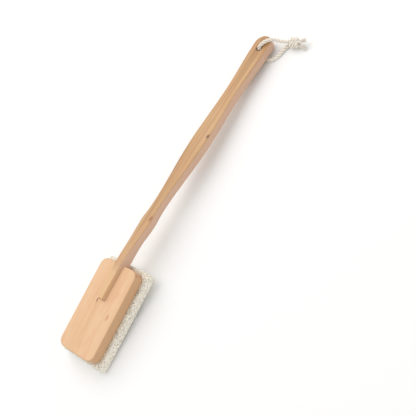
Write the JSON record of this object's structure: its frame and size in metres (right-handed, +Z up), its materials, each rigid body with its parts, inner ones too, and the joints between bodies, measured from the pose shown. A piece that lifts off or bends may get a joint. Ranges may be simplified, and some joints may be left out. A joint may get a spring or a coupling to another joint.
{
  "type": "long-handled body scrubber",
  "caption": "Flat wooden long-handled body scrubber with a porous slab glued under its board, a slide-out dovetailed handle and a knotted cotton hanging cord.",
  "frame": {"origin": "middle of the whole length and width at rest, on the surface that the scrubber lies on, measured without the cord", "axes": "+X from the head to the handle's tip, +Y across the head, +Z up from the surface"},
  "size_m": [0.4281, 0.0836, 0.0367],
  "materials": {
    "board_wood": "smooth sanded pale wood with a thin satin seal",
    "handle_wood": "smooth sanded tan wood with a thin satin seal",
    "slab": "rough porous cream slab",
    "glue": "dried clear-cream glue",
    "cotton_cord": "soft twisted natural cotton"
  },
  "bodies": {
    "head": {"head_board": "board_wood", "scrub_pad": "slab", "glue_layer": "glue"},
    "handle": {"handle": "handle_wood", "cord_upper": "cotton_cord", "cord_lower": "cotton_cord", "cord_knot": "cotton_cord", "cord_tail_a": "cotton_cord", "cord_tail_b": "cotton_cord"}
  },
  "joints": [
    {"name": "handle_slide", "type": "slide", "parent": "head", "child": "handle", "axis": [0.9978, 0, 0.0668], "range_m": [0, 0.04]}
  ]
}
